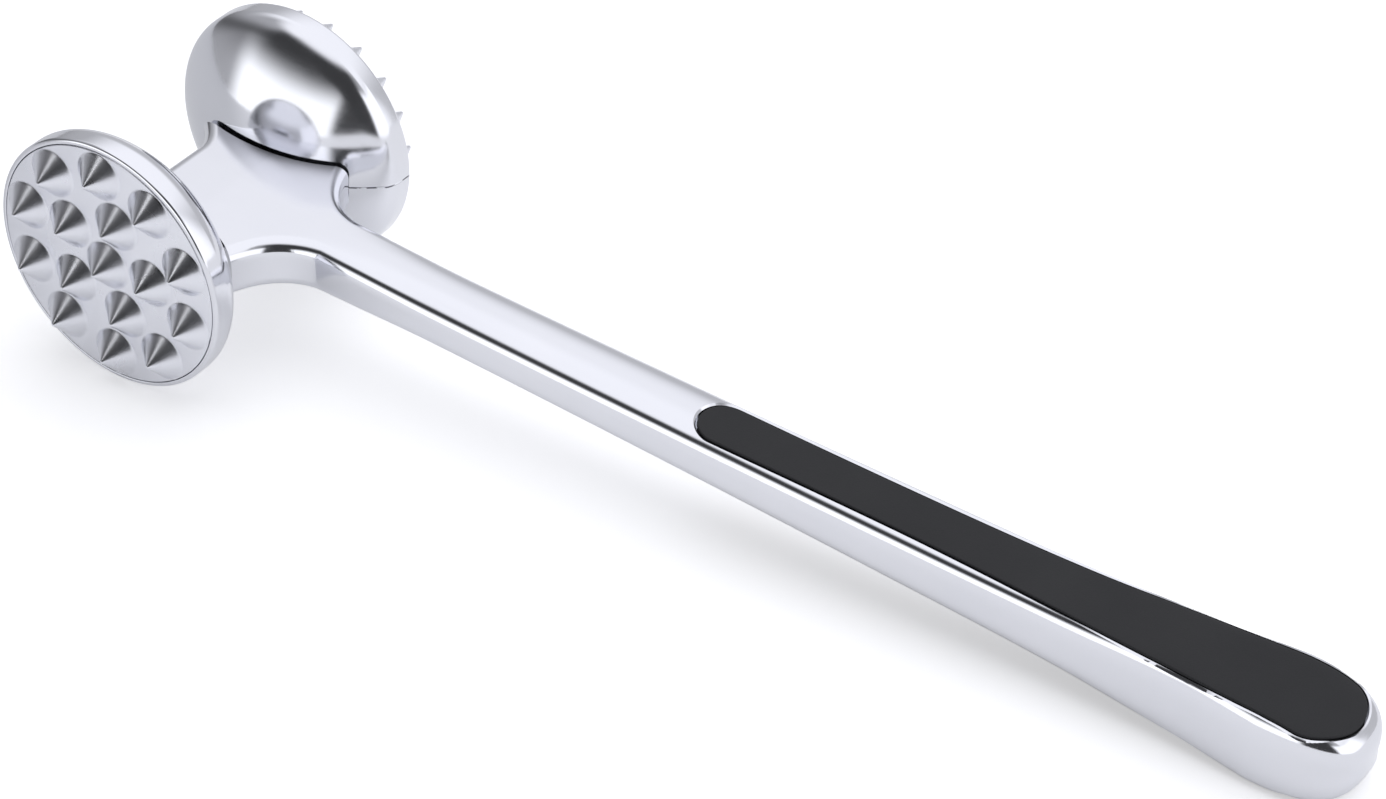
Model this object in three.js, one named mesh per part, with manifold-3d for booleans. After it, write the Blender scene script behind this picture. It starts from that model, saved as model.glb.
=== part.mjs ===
// Meat mallet with two spiked heads and a handle with soft inlays.
// Millimetres, +Z up. The mallet lies as it rests on a table: on the two head rims and
// the rear of the handle. It is drawn first in its own straight frame, where the head
// axis is X, the handle runs along -Y and the head centre is the origin, and the whole
// group is then tilted onto the table.

import * as THREE from 'three';
import { mergeVertices } from 'three/addons/utils/BufferGeometryUtils.js';
import Module from 'manifold-3d';

const wasm = await Module();
wasm.setup();

// ---- driving dimensions -------------------------------------------------------------

const CLEARANCE = 0.3; // free gap kept between two pieces that touch
const OVERRUN = 1; // how far a drilled hole starts outside the surface it goes into

const HEAD_RADIUS = 25; // both heads are 50 mm across
const FACE_X = 27.65; // plane of each striking face, from the head centre
const BELL_APEX_X = 11.4; // crown of the bell-shaped back, from the head centre
const BELL_SHOULDER_X = 22.6; // where the bell would reach the full radius
const BELL_POWER = 2.28; // how full the bell is
const BAND_START_X = 24.4; // where the shoulder has run out into the straight band
const SHOULDER_RADIUS = 22.4; // where the shoulder leaves the bell curve
const LIP_ROUND = 0.7; // rounded outer edge beside the face

const PLATE_RADIUS = 23.7;
const PLATE_THICKNESS = 3.2;
const BOSS_RADIUS = 5;
const BOSS_END_X = 17;
const BOSS_HOLE_DEPTH = 6;

const SPIKE_HEIGHT = 4.2;
const SPIKE_ROOT = 0.4; // how far a spike goes down into its plate
const COARSE_SPIKE = { base: 4.7, tip: 0.45, sides: 12 };
const FINE_SPIKE = { base: 2.1, tip: 0.3, sides: 8 };
const COARSE_RINGS = [
  { radius: 0, count: 1, phase: 0 },
  { radius: 9.9, count: 5, phase: -13.6 },
  { radius: 18.95, count: 10, phase: 3.8 },
];
const FINE_RINGS = [
  { radius: 0, count: 1, phase: 0 },
  { radius: 7.2, count: 6, phase: 10 },
  { radius: 14.4, count: 13, phase: 4 },
  { radius: 21.5, count: 19, phase: -8.3 },
];

const STUD_RADIUS = 2.5;
const DOWEL = { radius: 1.25, y: -10, start: 9, end: 17 };

const NECK_HALF_THICKNESS = 5;
const NECK_ROUND = 2.6; // edge rounding of the neck
const NECK_REACH = 25; // half-length of the neck before the bells' seats are cut
// Free end of the neck in plan: straight in the middle, flaring towards the bells.
const NECK_BUTT = { flat: 5, y: 7, pull: 10.5, flareX: 19, flareY: 20 };
// Sides of the neck in plan: a concave sweep from the handle, where it begins a little
// inside the handle's own side, out to the bells.
const NECK_SWEEP = { start: 30, inset: 0.3, pullX: 7.6, pullY: -21.3, endX: 19, endY: -18.5 };

// Half-width and half-thickness of the handle at distances behind the head centre. The
// power is how boxy the section is there: 2 is an ellipse and larger is squarer.
const HANDLE_STATIONS = [
  { at: 6, width: 6.1, thickness: 5.1, power: 3.2 },
  { at: 60, width: 6.6, thickness: 4.75, power: 3.2 },
  { at: 110, width: 7.1, thickness: 5.05, power: 3.4 },
  { at: 150, width: 7.5, thickness: 5.55, power: 3.9 },
  { at: 185, width: 7.95, thickness: 6.35, power: 4.3 },
  { at: 208, width: 8.9, thickness: 8.0, power: 4.5 },
  { at: 222, width: 10.3, thickness: 8.4, power: 4.5 },
];
const HANDLE_END = 238.9;
const CAP_PLAN_POWER = 2.4; // roundness of the end seen from above
const CAP_SIDE_POWER = 3; // roundness of the end seen from the side
const LOFT_AROUND = 28;
const LOFT_ROWS = 18;
const LOFT_CAP_ROWS = 5;

// Half-width of the soft inlay at distances behind the head centre.
const GRIP_STATIONS = [
  { at: 114, width: 4.9 },
  { at: 137, width: 4.85 },
  { at: 160, width: 5.05 },
  { at: 182, width: 5.8 },
  { at: 202, width: 7.15 },
  { at: 222, width: 8.45 },
  { at: 228, width: 8.5 },
];
const GRIP_START = 109.1;
const GRIP_END = 236;
const GRIP_SIDE_STEPS = 9;
const GRIP_END_STEPS = 6;
const RECESS_FLOOR_Z = 1.5;
const SKIN_THICKNESS = 1.5;
const SKIN_DROP = 0.15; // how far the inlay sits below the metal rim around it
const SKIN_POWER = 8; // the inlay is flatter across than the handle
const PEG_RADIUS = 1.3;
const PEG_LENGTH = 1.2;
const PEG_ROOT = 0.5; // how far a peg goes up into its carrier
const PEG_HOLE_DEPTH = 1.5;
const UPPER_PEGS_AT = [124, 166, 208];
const LOWER_PEGS_AT = [132, 174, 216];

const TILT_REACH_FROM = 180; // the handle touches the table somewhere behind this
const TILT_REACH_STEP = 0.5;
const TILT_LIMIT = 0.2; // radians, above any tilt this shape can rest at
const TILT_HALVINGS = 40;

const HEAD_SEGMENTS = 40;
const BORE_SEGMENTS = 14;
const BELL_STEPS = 6;
const SHOULDER_STEPS = 3;
const LIP_STEPS = 2;
const NECK_FLARE_STEPS = 5;
const NECK_SWEEP_STEPS = 6;
const NECK_ROUND_STEPS = 3;
const SLOPE_STEP = 0.1; // step over which the bell's slope is measured
const TINY = 1e-6; // a sine or cosine below this is taken as 0
const FAR = 60; // reach of a cutting solid beyond the object

// ---- solids -------------------------------------------------------------------------

function solid(geometry) {
  const bare = geometry.clone();
  bare.deleteAttribute('normal');
  bare.deleteAttribute('uv');
  const merged = mergeVertices(bare);
  const vertProperties = new Float32Array(merged.attributes.position.array);
  const triVerts = new Uint32Array(merged.index.array);
  return new wasm.Manifold(new wasm.Mesh({ numProp: 3, vertProperties, triVerts }));
}

function meshOf(name, body, material) {
  const { vertProperties, triVerts } = body.getMesh();
  const geometry = new THREE.BufferGeometry();
  geometry.setAttribute('position', new THREE.BufferAttribute(vertProperties, 3));
  geometry.setIndex(new THREE.BufferAttribute(triVerts, 1));
  geometry.computeVertexNormals();
  const mesh = new THREE.Mesh(geometry, material);
  mesh.name = name;
  return mesh;
}

function material(color, roughness, metalness) {
  return new THREE.MeshStandardMaterial({ color, roughness, metalness });
}

// A round bar whose axis is X, between two X positions.
function barAlongX(radius, fromX, toX, y = 0, segments = BORE_SEGMENTS) {
  const bar = new THREE.CylinderGeometry(radius, radius, toX - fromX, segments);
  bar.rotateZ(-Math.PI / 2);
  bar.translate((fromX + toX) / 2, y, 0);
  return solid(bar);
}

// A round bar whose axis is Z, between two heights.
function barAlongZ(radius, fromZ, toZ, y) {
  const bar = new THREE.CylinderGeometry(radius, radius, toZ - fromZ, BORE_SEGMENTS);
  bar.rotateX(Math.PI / 2);
  bar.translate(0, y, (fromZ + toZ) / 2);
  return solid(bar);
}

// Turns a shape drawn around +Y so that +Y points out through one face of the mallet.
// side is +1 for the fine face on +X and -1 for the coarse face on -X.
function facing(side, geometry) {
  geometry.rotateZ((-side * Math.PI) / 2);
  return geometry;
}

// ---- heads --------------------------------------------------------------------------

function bellBackX(radius) {
  const rise = BELL_SHOULDER_X - BELL_APEX_X;
  return BELL_APEX_X + rise * (radius / HEAD_RADIUS) ** BELL_POWER;
}

// Half-section of the bell's outside as radius and distance along the head axis.
function bellBackPoints() {
  const points = [];
  for (let i = 0; i <= BELL_STEPS; i += 1) {
    const radius = (SHOULDER_RADIUS * i) / BELL_STEPS;
    points.push(new THREE.Vector2(radius, bellBackX(radius)));
  }
  const last = points.at(-1);
  const slope = (last.y - bellBackX(SHOULDER_RADIUS - SLOPE_STEP)) / SLOPE_STEP;
  const corner = new THREE.Vector2(
    HEAD_RADIUS,
    last.y + slope * (HEAD_RADIUS - SHOULDER_RADIUS),
  );
  const bandStart = new THREE.Vector2(HEAD_RADIUS, BAND_START_X);
  const shoulder = new THREE.QuadraticBezierCurve(last, corner, bandStart);
  points.push(...shoulder.getPoints(SHOULDER_STEPS).slice(1));
  return points;
}

function bellOutline() {
  const round = new THREE.EllipseCurve(
    HEAD_RADIUS - LIP_ROUND,
    FACE_X - LIP_ROUND,
    LIP_ROUND,
    LIP_ROUND,
    0,
    Math.PI / 2,
  );
  const middle = new THREE.Vector2(0, FACE_X);
  return [...bellBackPoints(), ...round.getPoints(LIP_STEPS), middle];
}

function bell(side) {
  const pocketRadius = PLATE_RADIUS + CLEARANCE;
  const pocketFloor = FACE_X - PLATE_THICKNESS - CLEARANCE;
  const bossBore = BOSS_RADIUS + CLEARANCE;
  const studBore = STUD_RADIUS + CLEARANCE;
  const holes = [
    barAlongX(pocketRadius, pocketFloor, FAR, 0, HEAD_SEGMENTS),
    barAlongX(bossBore, BOSS_END_X - CLEARANCE, FAR),
    barAlongX(studBore, 0, FAR),
    barAlongX(DOWEL.radius + CLEARANCE, 0, DOWEL.end + CLEARANCE, DOWEL.y),
  ];
  const outside = new THREE.LatheGeometry(bellOutline(), HEAD_SEGMENTS);
  let body = solid(facing(1, outside));
  for (const hole of holes) {
    body = body.subtract(hole);
  }
  return side > 0 ? body : body.mirror([1, 0, 0]);
}

// The space that a bell and its clearance take out of the neck.
function bellSeat(side) {
  const points = bellBackPoints().map(
    (p) => new THREE.Vector2(p.x === 0 ? 0 : p.x + CLEARANCE, p.y - CLEARANCE),
  );
  const rim = HEAD_RADIUS + CLEARANCE;
  points.push(new THREE.Vector2(rim, FAR), new THREE.Vector2(0, FAR));
  return solid(facing(side, new THREE.LatheGeometry(points, HEAD_SEGMENTS)));
}

// A cone on a short straight root, which joins it to its plate.
function spike(form, ring, index, side) {
  const angle = THREE.MathUtils.degToRad(ring.phase + (index * 360) / ring.count);
  const profile = [
    new THREE.Vector2(0, FACE_X - SPIKE_ROOT),
    new THREE.Vector2(form.base, FACE_X - SPIKE_ROOT),
    new THREE.Vector2(form.base, FACE_X),
    new THREE.Vector2(form.tip, FACE_X + SPIKE_HEIGHT),
    new THREE.Vector2(0, FACE_X + SPIKE_HEIGHT),
  ];
  const cone = new THREE.LatheGeometry(profile, form.sides);
  cone.translate(-side * ring.radius * Math.sin(angle), 0, ring.radius * Math.cos(angle));
  return solid(facing(side, cone));
}

function facePlate(side, form, rings) {
  const middleX = FACE_X - PLATE_THICKNESS / 2;
  const disc = new THREE.CylinderGeometry(
    PLATE_RADIUS,
    PLATE_RADIUS,
    PLATE_THICKNESS,
    HEAD_SEGMENTS,
  );
  disc.translate(0, middleX, 0);
  const bossLength = middleX - BOSS_END_X;
  const boss = new THREE.CylinderGeometry(BOSS_RADIUS, BOSS_RADIUS, bossLength, BORE_SEGMENTS);
  boss.translate(0, BOSS_END_X + bossLength / 2, 0);
  const holeRadius = STUD_RADIUS + CLEARANCE;
  const holeLength = BOSS_HOLE_DEPTH + OVERRUN;
  const hole = new THREE.CylinderGeometry(holeRadius, holeRadius, holeLength, BORE_SEGMENTS);
  hole.translate(0, BOSS_END_X - OVERRUN + holeLength / 2, 0);
  let body = solid(facing(side, disc)).add(solid(facing(side, boss)));
  body = body.subtract(solid(facing(side, hole)));
  for (const ring of rings) {
    for (let index = 0; index < ring.count; index += 1) {
      body = body.add(spike(form, ring, index, side));
    }
  }
  return body;
}

// ---- handle -------------------------------------------------------------------------

// Smooth curve through stations: the value of one field at a distance behind the head.
function along(stations, field, at) {
  const clamped = Math.min(Math.max(at, stations[0].at), stations.at(-1).at);
  let i = 0;
  while (i < stations.length - 2 && clamped > stations[i + 1].at) {
    i += 1;
  }
  const slopeAt = (k) => {
    const before = stations[Math.max(k - 1, 0)];
    const after = stations[Math.min(k + 1, stations.length - 1)];
    return (after[field] - before[field]) / (after.at - before.at);
  };
  const from = stations[i];
  const to = stations[i + 1];
  const span = to.at - from.at;
  const u = (clamped - from.at) / span;
  const rest = 1 - u;
  return (
    from[field] * (1 + 2 * u) * rest * rest +
    slopeAt(i) * span * u * rest * rest +
    to[field] * u * u * (3 - 2 * u) -
    slopeAt(i + 1) * span * u * u * rest
  );
}

// Rear cap of the handle: 1 along the handle, falling to 0 at its very end.
function capScale(at, power) {
  const capStart = HANDLE_STATIONS.at(-1).at;
  const past = Math.max(at - capStart, 0) / (HANDLE_END - capStart);
  return Math.max(1 - past ** power, 0) ** (1 / power);
}

function handleWidth(at) {
  return along(HANDLE_STATIONS, 'width', at) * capScale(at, CAP_PLAN_POWER);
}

function handleThickness(at) {
  return along(HANDLE_STATIONS, 'thickness', at) * capScale(at, CAP_SIDE_POWER);
}

function handlePower(at) {
  return along(HANDLE_STATIONS, 'power', at);
}

function gripWidth(at) {
  return along(GRIP_STATIONS, 'width', at);
}

// Height of the metal rim beside the inlay.
function rimHeight(at) {
  const power = handlePower(at);
  const share = Math.min(gripWidth(at) / along(HANDLE_STATIONS, 'width', at), 1);
  return handleThickness(at) * (1 - share ** power) ** (1 / power);
}

// Distance behind the head centre of each row of the loft; the first and the last row
// are the points that close it.
function loftRowAt(row) {
  const first = HANDLE_STATIONS[0].at;
  const capStart = HANDLE_STATIONS.at(-1).at;
  const bodyRows = LOFT_ROWS - LOFT_CAP_ROWS - 1;
  if (row <= bodyRows) {
    return first + ((capStart - first) * Math.max(row - 1, 0)) / (bodyRows - 1);
  }
  const turn = ((row - bodyRows) / (LOFT_CAP_ROWS + 1)) * (Math.PI / 2);
  return capStart + (HANDLE_END - capStart) * Math.sin(turn);
}

// Pushes a sine or cosine outwards, which turns a circle into a rounded box.
function boxier(value, power) {
  const size = Math.abs(value);
  return size < TINY ? 0 : Math.sign(value) * size ** (2 / power);
}

// A bar along -Y with a rounded-box section, from a sphere whose rows are moved.
function loft(halfThickness, powerAt) {
  const bar = new THREE.SphereGeometry(1, LOFT_AROUND, LOFT_ROWS);
  const { position } = bar.attributes;
  const point = new THREE.Vector3();
  for (let i = 0; i < position.count; i += 1) {
    point.fromBufferAttribute(position, i);
    const fromPole = Math.acos(THREE.MathUtils.clamp(point.y, -1, 1)) / Math.PI;
    const row = Math.round(fromPole * LOFT_ROWS);
    const at = loftRowAt(row);
    const open = row === 0 || row === LOFT_ROWS ? 0 : 1;
    const turn = Math.atan2(point.z, point.x);
    const power = powerAt(at);
    const x = boxier(Math.cos(turn), power) * handleWidth(at);
    const z = boxier(Math.sin(turn), power) * halfThickness(at);
    position.setXYZ(i, x * open, -at, z * open);
  }
  return solid(bar);
}

// Plan outline of the neck: concave at its free end and swept into the handle.
function neckShape() {
  const butt = NECK_BUTT;
  const sweep = NECK_SWEEP;
  const flare = new THREE.QuadraticBezierCurve(
    new THREE.Vector2(butt.flat, butt.y),
    new THREE.Vector2(butt.pull, butt.y),
    new THREE.Vector2(butt.flareX, butt.flareY),
  );
  const side = new THREE.QuadraticBezierCurve(
    new THREE.Vector2(sweep.endX, sweep.endY),
    new THREE.Vector2(sweep.pullX, sweep.pullY),
    new THREE.Vector2(handleWidth(sweep.start) - sweep.inset, -sweep.start),
  );
  const right = [
    ...flare.getPoints(NECK_FLARE_STEPS),
    new THREE.Vector2(NECK_REACH, butt.flareY),
    new THREE.Vector2(NECK_REACH, sweep.endY),
    ...side.getPoints(NECK_SWEEP_STEPS),
  ];
  const left = right.map((p) => new THREE.Vector2(-p.x, p.y)).reverse();
  return new THREE.Shape([...right, ...left].reverse());
}

function neck() {
  const block = new THREE.ExtrudeGeometry(neckShape(), {
    depth: 2 * (NECK_HALF_THICKNESS - NECK_ROUND),
    bevelThickness: NECK_ROUND,
    bevelSize: NECK_ROUND,
    bevelOffset: -NECK_ROUND,
    bevelSegments: NECK_ROUND_STEPS,
  });
  block.translate(0, 0, NECK_ROUND - NECK_HALF_THICKNESS);
  return solid(block);
}

// Teardrop plan outline of the inlay, widened by a margin all round.
function gripShape(margin) {
  const frontAt = GRIP_STATIONS[0].at;
  const rearAt = GRIP_STATIONS.at(-1).at;
  const side = [];
  for (let i = 0; i <= GRIP_SIDE_STEPS; i += 1) {
    const at = frontAt + ((rearAt - frontAt) * i) / GRIP_SIDE_STEPS;
    side.push(new THREE.Vector2(gripWidth(at) + margin, -at));
  }
  const quarterTurn = (centreAt, width, reach) => {
    const points = [];
    for (let i = 1; i < GRIP_END_STEPS; i += 1) {
      const turn = (i / GRIP_END_STEPS) * (Math.PI / 2);
      points.push(new THREE.Vector2(width * Math.cos(turn), -centreAt - reach * Math.sin(turn)));
    }
    return points;
  };
  const rear = quarterTurn(rearAt, gripWidth(rearAt) + margin, GRIP_END - rearAt + margin);
  const front = quarterTurn(frontAt, gripWidth(frontAt) + margin, GRIP_START - frontAt - margin);
  const right = [
    new THREE.Vector2(0, -GRIP_START + margin),
    ...front.reverse(),
    ...side,
    ...rear,
    new THREE.Vector2(0, -GRIP_END - margin),
  ];
  const left = right.slice(1, -1).reverse().map((p) => new THREE.Vector2(-p.x, p.y));
  return new THREE.Shape([...right, ...left].reverse());
}

function gripPrism(margin, fromZ) {
  const depth = FAR;
  const prism = new THREE.ExtrudeGeometry(gripShape(margin), { depth, bevelEnabled: false });
  prism.translate(0, 0, fromZ);
  return solid(prism);
}

function gripTop(at) {
  return rimHeight(at) - SKIN_DROP;
}

function turnedOver(body) {
  return body.rotate([0, 180, 0]);
}

// The soft skin, with the same thickness all over.
function gripSkin() {
  const crown = loft(gripTop, () => SKIN_POWER);
  return gripPrism(0, RECESS_FLOOR_Z)
    .intersect(crown)
    .subtract(crown.translate([0, 0, -SKIN_THICKNESS]));
}

// The hard tray under the skin, with pegs that go into the casting.
function gripCarrier(pegsAt) {
  const crown = loft(gripTop, () => SKIN_POWER);
  const under = RECESS_FLOOR_Z + CLEARANCE;
  let body = gripPrism(0, under).intersect(
    crown.translate([0, 0, -SKIN_THICKNESS - CLEARANCE]),
  );
  const pegEnd = RECESS_FLOOR_Z - PEG_LENGTH;
  for (const at of pegsAt) {
    body = body.add(barAlongZ(PEG_RADIUS, pegEnd, under + PEG_ROOT, -at));
  }
  return body;
}

function gripRecess(pegsAt) {
  let body = gripPrism(CLEARANCE, RECESS_FLOOR_Z);
  const bottom = RECESS_FLOOR_Z - PEG_HOLE_DEPTH;
  const top = RECESS_FLOOR_Z + OVERRUN;
  for (const at of pegsAt) {
    body = body.add(barAlongZ(PEG_RADIUS + CLEARANCE, bottom, top, -at));
  }
  return body;
}

function handleCasting() {
  const dowelHole = DOWEL.radius + CLEARANCE;
  const cuts = [
    bellSeat(1),
    bellSeat(-1),
    barAlongX(STUD_RADIUS + CLEARANCE, -FAR, FAR),
    barAlongX(dowelHole, DOWEL.start - CLEARANCE, FAR, DOWEL.y),
    barAlongX(dowelHole, -FAR, CLEARANCE - DOWEL.start, DOWEL.y),
    gripRecess(UPPER_PEGS_AT),
    turnedOver(gripRecess(LOWER_PEGS_AT)),
  ];
  let body = loft(handleThickness, handlePower).add(neck());
  for (const cut of cuts) {
    body = body.subtract(cut);
  }
  return body;
}

// ---- assembly -----------------------------------------------------------------------

// Tilt at which the rear of the handle comes down to the table that the rims stand on.
function restingTilt() {
  let low = 0;
  let high = TILT_LIMIT;
  for (let halving = 0; halving < TILT_HALVINGS; halving += 1) {
    const tilt = (low + high) / 2;
    let reach = 0;
    for (let at = TILT_REACH_FROM; at <= HANDLE_END; at += TILT_REACH_STEP) {
      const lower = at > GRIP_END ? handleThickness(at) : rimHeight(at);
      reach = Math.max(reach, at * Math.sin(tilt) + lower * Math.cos(tilt));
    }
    if (reach > HEAD_RADIUS) {
      high = tilt;
    } else {
      low = tilt;
    }
  }
  return low;
}

const chrome = () => material(0xd9dbe2, 0.08, 1.0);
const satin = () => material(0xc3c6cf, 0.28, 1.0);
const steel = () => material(0x9a9ca2, 0.35, 1.0);
const softBlack = () => material(0x3b3c41, 0.62, 0.0);
const hardBlack = () => material(0x1d1d20, 0.5, 0.0);

const mallet = new THREE.Group();
mallet.add(
  meshOf('handle_casting', handleCasting(), chrome()),
  meshOf('coarse_head_bell', bell(-1), chrome()),
  meshOf('fine_head_bell', bell(1), chrome()),
  meshOf('coarse_face_plate', facePlate(-1, COARSE_SPIKE, COARSE_RINGS), satin()),
  meshOf('fine_face_plate', facePlate(1, FINE_SPIKE, FINE_RINGS), satin()),
);

const studEnd = BOSS_END_X + BOSS_HOLE_DEPTH - CLEARANCE;
mallet.add(
  meshOf('head_tie_stud', barAlongX(STUD_RADIUS, -studEnd, studEnd), steel()),
  meshOf('coarse_head_dowel', barAlongX(DOWEL.radius, -DOWEL.end, -DOWEL.start, DOWEL.y), steel()),
  meshOf('fine_head_dowel', barAlongX(DOWEL.radius, DOWEL.start, DOWEL.end, DOWEL.y), steel()),
);

mallet.add(
  meshOf('upper_grip_carrier', gripCarrier(UPPER_PEGS_AT), hardBlack()),
  meshOf('upper_grip_skin', gripSkin(), softBlack()),
  meshOf('lower_grip_carrier', turnedOver(gripCarrier(LOWER_PEGS_AT)), hardBlack()),
  meshOf('lower_grip_skin', turnedOver(gripSkin()), softBlack()),
);

mallet.rotation.x = restingTilt();

// The frame's origin is the middle of the bottom of the object's box.
mallet.updateMatrixWorld(true);
const box = new THREE.Box3().setFromObject(mallet, true);
const middle = box.getCenter(new THREE.Vector3());
mallet.position.set(-middle.x, -middle.y, -box.min.z);

export default mallet;
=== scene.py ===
# Meat mallet with two spiked heads: the finished surfaces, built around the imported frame.
# Shapes are drawn in millimetres in the mallet's own straight frame, where the head axis
# is X, the handle runs along -Y and the head centre is the origin. PLACE then puts them
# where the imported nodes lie.
import math

import bmesh
import bpy
import numpy as np
from mathutils import Matrix, Vector


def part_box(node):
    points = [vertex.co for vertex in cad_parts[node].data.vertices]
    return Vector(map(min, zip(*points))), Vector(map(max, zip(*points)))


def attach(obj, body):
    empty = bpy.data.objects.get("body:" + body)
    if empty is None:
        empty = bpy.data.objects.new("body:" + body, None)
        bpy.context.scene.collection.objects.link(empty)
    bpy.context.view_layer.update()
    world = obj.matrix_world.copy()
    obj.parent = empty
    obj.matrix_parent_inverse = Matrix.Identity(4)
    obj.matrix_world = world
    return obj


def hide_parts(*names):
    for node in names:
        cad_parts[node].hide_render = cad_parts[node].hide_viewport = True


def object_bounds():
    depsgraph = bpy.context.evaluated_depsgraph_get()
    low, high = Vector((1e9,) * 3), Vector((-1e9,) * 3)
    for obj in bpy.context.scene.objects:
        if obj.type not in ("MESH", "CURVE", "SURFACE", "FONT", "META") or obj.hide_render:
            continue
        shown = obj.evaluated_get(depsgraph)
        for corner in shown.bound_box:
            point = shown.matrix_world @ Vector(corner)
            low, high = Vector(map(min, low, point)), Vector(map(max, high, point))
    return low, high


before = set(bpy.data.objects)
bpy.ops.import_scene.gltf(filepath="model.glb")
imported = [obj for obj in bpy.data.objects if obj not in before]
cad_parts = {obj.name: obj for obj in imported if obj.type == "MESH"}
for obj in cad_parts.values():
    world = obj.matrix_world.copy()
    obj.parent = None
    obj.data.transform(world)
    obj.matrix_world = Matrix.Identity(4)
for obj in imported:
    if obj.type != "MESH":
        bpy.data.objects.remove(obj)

cad_low, cad_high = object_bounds()

MM = 0.001
MICRON = 0.000001

# ---- driving dimensions, in millimetres ----------------------------------------------

CLEARANCE = 0.3  # gap between two pieces that touch
SEAT_GAP = 0.75  # open joint between the neck and each bell

HEAD_RADIUS = 25
FACE_X = 27.65
BELL_APEX_X = 11.4
BELL_SHOULDER_X = 22.6
BELL_POWER = 2.28
BAND_START_X = 24.4
SHOULDER_RADIUS = 22.4
LIP_ROUND = 0.7
EDGE_BREAK = 0.18  # small rounding on machined edges

PLATE_RADIUS = 23.7
PLATE_FIT = 0.18  # how much of the gap round the plate is closed up at its visible edge
PLATE_THICKNESS = 3.2
BOSS_RADIUS = 5
BOSS_END_X = 17
BOSS_HOLE_DEPTH = 6
STUD_RADIUS = 2.5
DOWEL_RADIUS = 1.25
DOWEL_Y = -10
DOWEL_START_X = 9
DOWEL_END_X = 17

SPIKE_HEIGHT = 4.2
SPIKE_ROOT = 0.4
SPIKE_FILLET = 0.2
FILLET_SHARE = 0.12  # how much of a spike's flank its fillet takes up
FILLET_PULL = 0.05
FOOT_LIFT = 0.02  # keeps the foot of a spike from lying exactly in the plate's face
TIP_ROUND = 0.12
COARSE_SPIKE = {"base": 4.7, "tip": 0.3, "around": 96}
FINE_SPIKE = {"base": 2.1, "tip": 0.36, "around": 48}
COARSE_RINGS = [(0, 1, 0), (9.9, 5, -13.6), (18.95, 10, 3.8)]  # radius, count, phase
FINE_RINGS = [(0, 1, 0), (7.2, 6, 10), (14.4, 13, 4), (21.5, 19, -8.3)]

NECK_ROUND = 2.6
NECK_REACH = 25
BUTT_CURVE = [(5, 7), (10.5, 7), (19, 20)]
SWEEP_CURVE = [(19, -18.5), (7.6, -21.3)]  # the third point is on the handle
SWEEP_END_AT = 30
OUTLINE_END_AT = 90
BLEND_FROM_AT = 24  # the neck's section turns into the handle's between these
BLEND_TO_AT = 56

# Distance behind the head centre, half-width, half-thickness and boxiness.
HANDLE_STATIONS = np.array(
    [
        (6, 6.1, 5.1, 3.2),
        (60, 6.6, 4.75, 3.2),
        (110, 7.1, 5.05, 3.4),
        (150, 7.5, 5.55, 3.9),
        (185, 7.95, 6.35, 4.3),
        (208, 8.9, 8.0, 4.5),
        (222, 10.3, 8.4, 4.5),
    ]
)
CAP_START = HANDLE_STATIONS[-1, 0]
HANDLE_END = 238.9
CAP_PLAN_POWER = 2.4
CAP_SIDE_POWER = 3

# Distance behind the head centre and half-width of the soft inlay.
GRIP_STATIONS = np.array(
    [
        (114, 4.9),
        (137, 4.85),
        (160, 5.05),
        (182, 5.8),
        (202, 7.15),
        (222, 8.45),
        (228, 8.5),
    ]
)
GRIP_START = 109.1
GRIP_END = 236
RECESS_FLOOR_Z = 1.5
SKIN_THICKNESS = 1.5
SKIN_DROP = 0.15
SKIN_POWER = 8
PEG_RADIUS = 1.3
PEG_HOLE_DEPTH = 1.5
UPPER_PEGS_AT = (124, 166, 208)
LOWER_PEGS_AT = (132, 174, 216)
SKIN_EDGE = 0.35  # rounding of the soft inlay's edge
RIM_CHAMFER = 0.35

FAR = 60  # beyond everything
OVERRUN = 1  # how far a drill starts above the surface it enters

# ---- fineness of the meshes ----------------------------------------------------------

HEAD_SEGMENTS = 256
BORE_SEGMENTS = 48
DOME_STEPS = 64
SHOULDER_STEPS = 16
LIP_STEPS = 10
EDGE_STEPS = 5
FILLET_STEPS = 6
TIP_STEPS = 3
BUTT_STEPS = 24
SWEEP_STEPS = 40
OUTLINE_PITCH = 2

# The rough casting, which is then remeshed evenly and settled on the true surface.
ROUGH_SEGMENTS = 48
ROUGH_START_AT = 4
ROUGH_PITCH = 3
ROUGH_CAP_RINGS = 12
ROUGH_CAP_SHORT = 0.3  # how far it stops before the handle's end
ROUGH_NECK_HALF = 3.8  # half its thickness at the neck
VOXEL = 0.5
SETTLING_STEPS = 14

TOP_LIMIT = 12.0  # above every upper surface of the handle
TOP_HALVINGS = 40
CASTING_PROBE = 0.02  # half the distance over which a slope is measured
SKIN_PROBE = 0.05

INLAY_SIDE_POINTS = 120
INLAY_END_POINTS = 20
INLAY_SPINE_FRONT = 4  # how far inside the inlay's front end its spine stops
INLAY_SPINE_REAR = 7  # and inside its rear end
CROWN_SHARES = [*np.linspace(0.02, 0.9, 12), 0.96]  # rings from the spine to the edge
EDGE_RINGS = 7
ON_CROWN = 0.01  # a point this close to the crown belongs to it

# ---- placing -------------------------------------------------------------------------


def middle(node):
    low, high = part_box(node)
    return (low + high) / 2


head_centre = middle("head_tie_stud")
to_head = head_centre - middle("fine_head_dowel")
tilt = math.atan2(to_head.z, to_head.y)
PLACE = Matrix.Translation(head_centre) @ Matrix.Rotation(tilt, 4, "X")

# ---- mesh helpers --------------------------------------------------------------------


def link(name, data):
    obj = bpy.data.objects.new(name, data)
    bpy.context.scene.collection.objects.link(obj)
    return obj


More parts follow.
